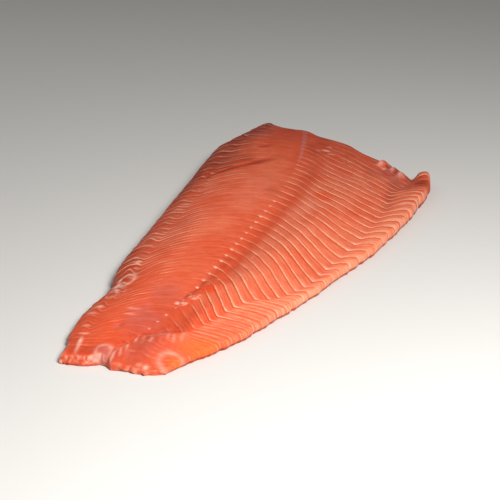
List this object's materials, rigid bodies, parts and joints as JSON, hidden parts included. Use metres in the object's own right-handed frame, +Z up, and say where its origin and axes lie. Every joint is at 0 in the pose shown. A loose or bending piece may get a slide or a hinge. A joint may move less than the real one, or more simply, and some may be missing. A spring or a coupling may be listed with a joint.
{
  "type": "raw salmon fillet",
  "caption": "Raw side of salmon, skinned, lying flesh side up: a long tapering slab of flaked orange muscle with a furrow down the middle and a thin pale belly strip.",
  "frame": {"origin": "middle of the bounding rectangle of the flat underside", "axes": "+Z up from the surface it lies on, +Y from the tail cut to the head cut, +X from the back edge to the belly edge"},
  "size_m": [0.1918, 0.4524, 0.0279],
  "materials": {
    "salmon_flesh": null
  },
  "bodies": {
    "root": {"fillet": "salmon_flesh"}
  },
  "joints": []
}
